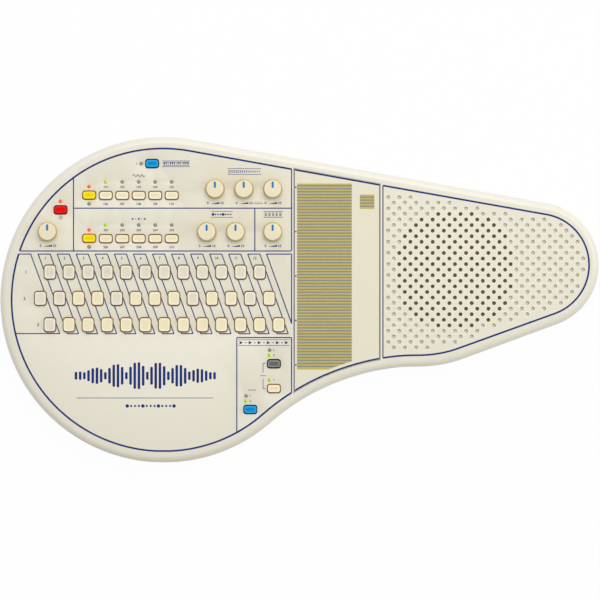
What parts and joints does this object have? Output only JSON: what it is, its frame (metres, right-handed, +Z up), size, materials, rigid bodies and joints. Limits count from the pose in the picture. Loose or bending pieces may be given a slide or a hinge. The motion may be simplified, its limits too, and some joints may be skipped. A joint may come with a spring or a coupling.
{
  "type": "electronic autoharp",
  "caption": "Electronic autoharp: a round cream body with rows of chord keys, rotary controls, a strum plate and a speaker neck.",
  "frame": {"origin": "on the table under the middle of the outline", "axes": "+X from the round body to the nose, +Y away from the player, +Z up out of the panel"},
  "size_m": [0.599, 0.3257, 0.0635],
  "materials": {
    "case": "fine-textured cream moulding",
    "strum_film": "satin cream film printed with gold and grey stripes",
    "key_cream": "satin cream caps",
    "key_stone": "satin warm grey caps",
    "key_yellow": "satin yellow caps",
    "key_red": "satin red cap",
    "key_blue": "satin blue caps",
    "key_dark": "satin dark grey cap",
    "knob": "satin cream knobs with a blue pointer",
    "print_navy": "navy screen print",
    "lamp_red": "lit red lamps",
    "lamp_green": "lit green lamps",
    "lamp_dark": "unlit lamps",
    "rubber": "soft dark feet",
    "screw": "plated screws and contacts",
    "speaker_cone": "paper cone and pressed basket",
    "board": "circuit board with its parts"
  },
  "bodies": {
    "case": {"top_case": "case", "bottom_case": "case", "strum_plate": "strum_film", "speaker": "speaker_cone", "main_board": "board"},
    "battery_cover": {"battery_cover": "case"},
    "master_volume_knob": {"master_volume_knob": "knob"},
    "strum_sustain_knob": {"strum_sustain_knob": "knob"},
    "strum_main_knob": {"strum_main_knob": "knob"},
    "strum_sub_knob": {"strum_sub_knob": "knob"},
    "tempo_knob": {"tempo_knob": "knob"},
    "rhythm_volume_knob": {"rhythm_volume_knob": "knob"},
    "chord_volume_knob": {"chord_volume_knob": "knob"},
    "power_key": {"power_key": "key_red"},
    "keyboard_key": {"keyboard_key": "key_blue"},
    "voice_bank_key": {"voice_bank_key": "key_yellow"},
    "pattern_bank_key": {"pattern_bank_key": "key_yellow"},
    "chord_mode_key": {"chord_mode_key": "key_dark"},
    "chord_hold_key": {"chord_hold_key": "key_cream"},
    "rhythm_start_key": {"rhythm_start_key": "key_blue"},
    "voice_keys": {"voice_keys": "key_cream"},
    "pattern_keys": {"pattern_keys": "key_cream"},
    "chord_key_major_01": {"chord_key_major_01": "key_stone"},
    "chord_key_major_02": {"chord_key_major_02": "key_stone"},
    "chord_key_major_03": {"chord_key_major_03": "key_stone"},
    "chord_key_major_04": {"chord_key_major_04": "key_stone"},
    "chord_key_major_05": {"chord_key_major_05": "key_stone"},
    "chord_key_major_06": {"chord_key_major_06": "key_stone"},
    "chord_key_major_07": {"chord_key_major_07": "key_stone"},
    "chord_key_major_08": {"chord_key_major_08": "key_stone"},
    "chord_key_major_09": {"chord_key_major_09": "key_stone"},
    "chord_key_major_10": {"chord_key_major_10": "key_stone"},
    "chord_key_major_11": {"chord_key_major_11": "key_stone"},
    "chord_key_major_12": {"chord_key_major_12": "key_stone"},
    "chord_key_minor_01": {"chord_key_minor_01": "key_stone"},
    "chord_key_minor_02": {"chord_key_minor_02": "key_stone"},
    "chord_key_minor_03": {"chord_key_minor_03": "key_cream"},
    "chord_key_minor_04": {"chord_key_minor_04": "key_cream"},
    "chord_key_minor_05": {"chord_key_minor_05": "key_stone"},
    "chord_key_minor_06": {"chord_key_minor_06": "key_cream"},
    "chord_key_minor_07": {"chord_key_minor_07": "key_cream"},
    "chord_key_minor_08": {"chord_key_minor_08": "key_cream"},
    "chord_key_minor_09": {"chord_key_minor_09": "key_stone"},
    "chord_key_minor_10": {"chord_key_minor_10": "key_cream"},
    "chord_key_minor_11": {"chord_key_minor_11": "key_cream"},
    "chord_key_minor_12": {"chord_key_minor_12": "key_stone"},
    "chord_key_minor_13": {"chord_key_minor_13": "key_cream"},
    "chord_key_seventh_01": {"chord_key_seventh_01": "key_stone"},
    "chord_key_seventh_02": {"chord_key_seventh_02": "key_cream"},
    "chord_key_seventh_03": {"chord_key_seventh_03": "key_cream"},
    "chord_key_seventh_04": {"chord_key_seventh_04": "key_cream"},
    "chord_key_seventh_05": {"chord_key_seventh_05": "key_cream"},
    "chord_key_seventh_06": {"chord_key_seventh_06": "key_cream"},
    "chord_key_seventh_07": {"chord_key_seventh_07": "key_cream"},
    "chord_key_seventh_08": {"chord_key_seventh_08": "key_cream"},
    "chord_key_seventh_09": {"chord_key_seventh_09": "key_cream"},
    "chord_key_seventh_10": {"chord_key_seventh_10": "key_cream"},
    "chord_key_seventh_11": {"chord_key_seventh_11": "key_cream"},
    "chord_key_seventh_12": {"chord_key_seventh_12": "key_cream"},
    "chord_key_seventh_13": {"chord_key_seventh_13": "key_cream"}
  },
  "joints": [
    {"name": "battery_cover_hinge", "type": "hinge", "parent": "case", "child": "battery_cover", "pos_m": [-0.1366, 0.035, 0.004], "axis": [1, 0, 0], "range_deg": [0, 95]},
    {"name": "master_volume_knob_turn", "type": "hinge", "parent": "case", "child": "master_volume_knob", "pos_m": [-0.25185, 0.06815, 0.056], "axis": [0, 0, 1], "range_deg": [-150, 150]},
    {"name": "strum_sustain_knob_turn", "type": "hinge", "parent": "case", "child": "strum_sustain_knob", "pos_m": [-0.08445, 0.11085, 0.056], "axis": [0, 0, 1], "range_deg": [-150, 150]},
    {"name": "strum_main_knob_turn", "type": "hinge", "parent": "case", "child": "strum_main_knob", "pos_m": [-0.0556, 0.11085, 0.056], "axis": [0, 0, 1], "range_deg": [-150, 150]},
    {"name": "strum_sub_knob_turn", "type": "hinge", "parent": "case", "child": "strum_sub_knob", "pos_m": [-0.02675, 0.11085, 0.056], "axis": [0, 0, 1], "range_deg": [-150, 150]},
    {"name": "tempo_knob_turn", "type": "hinge", "parent": "case", "child": "tempo_knob", "pos_m": [-0.09265, 0.06795, 0.056], "axis": [0, 0, 1], "range_deg": [-150, 150]},
    {"name": "rhythm_volume_knob_turn", "type": "hinge", "parent": "case", "child": "rhythm_volume_knob", "pos_m": [-0.06385, 0.06795, 0.056], "axis": [0, 0, 1], "range_deg": [-150, 150]},
    {"name": "chord_volume_knob_turn", "type": "hinge", "parent": "case", "child": "chord_volume_knob", "pos_m": [-0.02675, 0.06795, 0.056], "axis": [0, 0, 1], "range_deg": [-150, 150]},
    {"name": "power_key_press", "type": "slide", "parent": "case", "child": "power_key", "axis": [0, 0, -1], "range_m": [0, 0.0008], "stiffness_N_per_m": 200, "springref_m": -0.001},
    {"name": "keyboard_key_press", "type": "slide", "parent": "case", "child": "keyboard_key", "axis": [0, 0, -1], "range_m": [0, 0.0008], "stiffness_N_per_m": 200, "springref_m": -0.001},
    {"name": "voice_bank_key_press", "type": "slide", "parent": "case", "child": "voice_bank_key", "axis": [0, 0, -1], "range_m": [0, 0.0008], "stiffness_N_per_m": 200, "springref_m": -0.001},
    {"name": "pattern_bank_key_press", "type": "slide", "parent": "case", "child": "pattern_bank_key", "axis": [0, 0, -1], "range_m": [0, 0.0008], "stiffness_N_per_m": 200, "springref_m": -0.001},
    {"name": "chord_mode_key_press", "type": "slide", "parent": "case", "child": "chord_mode_key", "axis": [0, 0, -1], "range_m": [0, 0.0008], "stiffness_N_per_m": 200, "springref_m": -0.001},
    {"name": "chord_hold_key_press", "type": "slide", "parent": "case", "child": "chord_hold_key", "axis": [0, 0, -1], "range_m": [0, 0.0008], "stiffness_N_per_m": 200, "springref_m": -0.001},
    {"name": "rhythm_start_key_press", "type": "slide", "parent": "case", "child": "rhythm_start_key", "axis": [0, 0, -1], "range_m": [0, 0.0008], "stiffness_N_per_m": 200, "springref_m": -0.001},
    {"name": "voice_keys_press", "type": "slide", "parent": "case", "child": "voice_keys", "axis": [0, 0, -1], "range_m": [0, 0.0008], "stiffness_N_per_m": 200, "springref_m": -0.001},
    {"name": "pattern_keys_press", "type": "slide", "parent": "case", "child": "pattern_keys", "axis": [0, 0, -1], "range_m": [0, 0.0008], "stiffness_N_per_m": 200, "springref_m": -0.001},
    {"name": "chord_key_major_01_press", "type": "slide", "parent": "case", "child": "chord_key_major_01", "axis": [0, 0, -1], "range_m": [0, 0.0025], "stiffness_N_per_m": 100, "springref_m": -0.002},
    {"name": "chord_key_major_02_press", "type": "slide", "parent": "case", "child": "chord_key_major_02", "axis": [0, 0, -1], "range_m": [0, 0.0025], "stiffness_N_per_m": 100, "springref_m": -0.002},
    {"name": "chord_key_major_03_press", "type": "slide", "parent": "case", "child": "chord_key_major_03", "axis": [0, 0, -1], "range_m": [0, 0.0025], "stiffness_N_per_m": 100, "springref_m": -0.002},
    {"name": "chord_key_major_04_press", "type": "slide", "parent": "case", "child": "chord_key_major_04", "axis": [0, 0, -1], "range_m": [0, 0.0025], "stiffness_N_per_m": 100, "springref_m": -0.002},
    {"name": "chord_key_major_05_press", "type": "slide", "parent": "case", "child": "chord_key_major_05", "axis": [0, 0, -1], "range_m": [0, 0.0025], "stiffness_N_per_m": 100, "springref_m": -0.002},
    {"name": "chord_key_major_06_press", "type": "slide", "parent": "case", "child": "chord_key_major_06", "axis": [0, 0, -1], "range_m": [0, 0.0025], "stiffness_N_per_m": 100, "springref_m": -0.002},
    {"name": "chord_key_major_07_press", "type": "slide", "parent": "case", "child": "chord_key_major_07", "axis": [0, 0, -1], "range_m": [0, 0.0025], "stiffness_N_per_m": 100, "springref_m": -0.002},
    {"name": "chord_key_major_08_press", "type": "slide", "parent": "case", "child": "chord_key_major_08", "axis": [0, 0, -1], "range_m": [0, 0.0025], "stiffness_N_per_m": 100, "springref_m": -0.002},
    {"name": "chord_key_major_09_press", "type": "slide", "parent": "case", "child": "chord_key_major_09", "axis": [0, 0, -1], "range_m": [0, 0.0025], "stiffness_N_per_m": 100, "springref_m": -0.002},
    {"name": "chord_key_major_10_press", "type": "slide", "parent": "case", "child": "chord_key_major_10", "axis": [0, 0, -1], "range_m": [0, 0.0025], "stiffness_N_per_m": 100, "springref_m": -0.002},
    {"name": "chord_key_major_11_press", "type": "slide", "parent": "case", "child": "chord_key_major_11", "axis": [0, 0, -1], "range_m": [0, 0.0025], "stiffness_N_per_m": 100, "springref_m": -0.002},
    {"name": "chord_key_major_12_press", "type": "slide", "parent": "case", "child": "chord_key_major_12", "axis": [0, 0, -1], "range_m": [0, 0.0025], "stiffness_N_per_m": 100, "springref_m": -0.002},
    {"name": "chord_key_minor_01_press", "type": "slide", "parent": "case", "child": "chord_key_minor_01", "axis": [0, 0, -1], "range_m": [0, 0.0025], "stiffness_N_per_m": 100, "springref_m": -0.002},
    {"name": "chord_key_minor_02_press", "type": "slide", "parent": "case", "child": "chord_key_minor_02", "axis": [0, 0, -1], "range_m": [0, 0.0025], "stiffness_N_per_m": 100, "springref_m": -0.002},
    {"name": "chord_key_minor_03_press", "type": "slide", "parent": "case", "child": "chord_key_minor_03", "axis": [0, 0, -1], "range_m": [0, 0.0025], "stiffness_N_per_m": 100, "springref_m": -0.002},
    {"name": "chord_key_minor_04_press", "type": "slide", "parent": "case", "child": "chord_key_minor_04", "axis": [0, 0, -1], "range_m": [0, 0.0025], "stiffness_N_per_m": 100, "springref_m": -0.002},
    {"name": "chord_key_minor_05_press", "type": "slide", "parent": "case", "child": "chord_key_minor_05", "axis": [0, 0, -1], "range_m": [0, 0.0025], "stiffness_N_per_m": 100, "springref_m": -0.002},
    {"name": "chord_key_minor_06_press", "type": "slide", "parent": "case", "child": "chord_key_minor_06", "axis": [0, 0, -1], "range_m": [0, 0.0025], "stiffness_N_per_m": 100, "springref_m": -0.002},
    {"name": "chord_key_minor_07_press", "type": "slide", "parent": "case", "child": "chord_key_minor_07", "axis": [0, 0, -1], "range_m": [0, 0.0025], "stiffness_N_per_m": 100, "springref_m": -0.002},
    {"name": "chord_key_minor_08_press", "type": "slide", "parent": "case", "child": "chord_key_minor_08", "axis": [0, 0, -1], "range_m": [0, 0.0025], "stiffness_N_per_m": 100, "springref_m": -0.002},
    {"name": "chord_key_minor_09_press", "type": "slide", "parent": "case", "child": "chord_key_minor_09", "axis": [0, 0, -1], "range_m": [0, 0.0025], "stiffness_N_per_m": 100, "springref_m": -0.002},
    {"name": "chord_key_minor_10_press", "type": "slide", "parent": "case", "child": "chord_key_minor_10", "axis": [0, 0, -1], "range_m": [0, 0.0025], "stiffness_N_per_m": 100, "springref_m": -0.002},
    {"name": "chord_key_minor_11_press", "type": "slide", "parent": "case", "child": "chord_key_minor_11", "axis": [0, 0, -1], "range_m": [0, 0.0025], "stiffness_N_per_m": 100, "springref_m": -0.002},
    {"name": "chord_key_minor_12_press", "type": "slide", "parent": "case", "child": "chord_key_minor_12", "axis": [0, 0, -1], "range_m": [0, 0.0025], "stiffness_N_per_m": 100, "springref_m": -0.002},
    {"name": "chord_key_minor_13_press", "type": "slide", "parent": "case", "child": "chord_key_minor_13", "axis": [0, 0, -1], "range_m": [0, 0.0025], "stiffness_N_per_m": 100, "springref_m": -0.002},
    {"name": "chord_key_seventh_01_press", "type": "slide", "parent": "case", "child": "chord_key_seventh_01", "axis": [0, 0, -1], "range_m": [0, 0.0025], "stiffness_N_per_m": 100, "springref_m": -0.002},
    {"name": "chord_key_seventh_02_press", "type": "slide", "parent": "case", "child": "chord_key_seventh_02", "axis": [0, 0, -1], "range_m": [0, 0.0025], "stiffness_N_per_m": 100, "springref_m": -0.002},
    {"name": "chord_key_seventh_03_press", "type": "slide", "parent": "case", "child": "chord_key_seventh_03", "axis": [0, 0, -1], "range_m": [0, 0.0025], "stiffness_N_per_m": 100, "springref_m": -0.002},
    {"name": "chord_key_seventh_04_press", "type": "slide", "parent": "case", "child": "chord_key_seventh_04", "axis": [0, 0, -1], "range_m": [0, 0.0025], "stiffness_N_per_m": 100, "springref_m": -0.002},
    {"name": "chord_key_seventh_05_press", "type": "slide", "parent": "case", "child": "chord_key_seventh_05", "axis": [0, 0, -1], "range_m": [0, 0.0025], "stiffness_N_per_m": 100, "springref_m": -0.002},
    {"name": "chord_key_seventh_06_press", "type": "slide", "parent": "case", "child": "chord_key_seventh_06", "axis": [0, 0, -1], "range_m": [0, 0.0025], "stiffness_N_per_m": 100, "springref_m": -0.002},
    {"name": "chord_key_seventh_07_press", "type": "slide", "parent": "case", "child": "chord_key_seventh_07", "axis": [0, 0, -1], "range_m": [0, 0.0025], "stiffness_N_per_m": 100, "springref_m": -0.002},
    {"name": "chord_key_seventh_08_press", "type": "slide", "parent": "case", "child": "chord_key_seventh_08", "axis": [0, 0, -1], "range_m": [0, 0.0025], "stiffness_N_per_m": 100, "springref_m": -0.002},
    {"name": "chord_key_seventh_09_press", "type": "slide", "parent": "case", "child": "chord_key_seventh_09", "axis": [0, 0, -1], "range_m": [0, 0.0025], "stiffness_N_per_m": 100, "springref_m": -0.002},
    {"name": "chord_key_seventh_10_press", "type": "slide", "parent": "case", "child": "chord_key_seventh_10", "axis": [0, 0, -1], "range_m": [0, 0.0025], "stiffness_N_per_m": 100, "springref_m": -0.002},
    {"name": "chord_key_seventh_11_press", "type": "slide", "parent": "case", "child": "chord_key_seventh_11", "axis": [0, 0, -1], "range_m": [0, 0.0025], "stiffness_N_per_m": 100, "springref_m": -0.002},
    {"name": "chord_key_seventh_12_press", "type": "slide", "parent": "case", "child": "chord_key_seventh_12", "axis": [0, 0, -1], "range_m": [0, 0.0025], "stiffness_N_per_m": 100, "springref_m": -0.002},
    {"name": "chord_key_seventh_13_press", "type": "slide", "parent": "case", "child": "chord_key_seventh_13", "axis": [0, 0, -1], "range_m": [0, 0.0025], "stiffness_N_per_m": 100, "springref_m": -0.002}
  ]
}
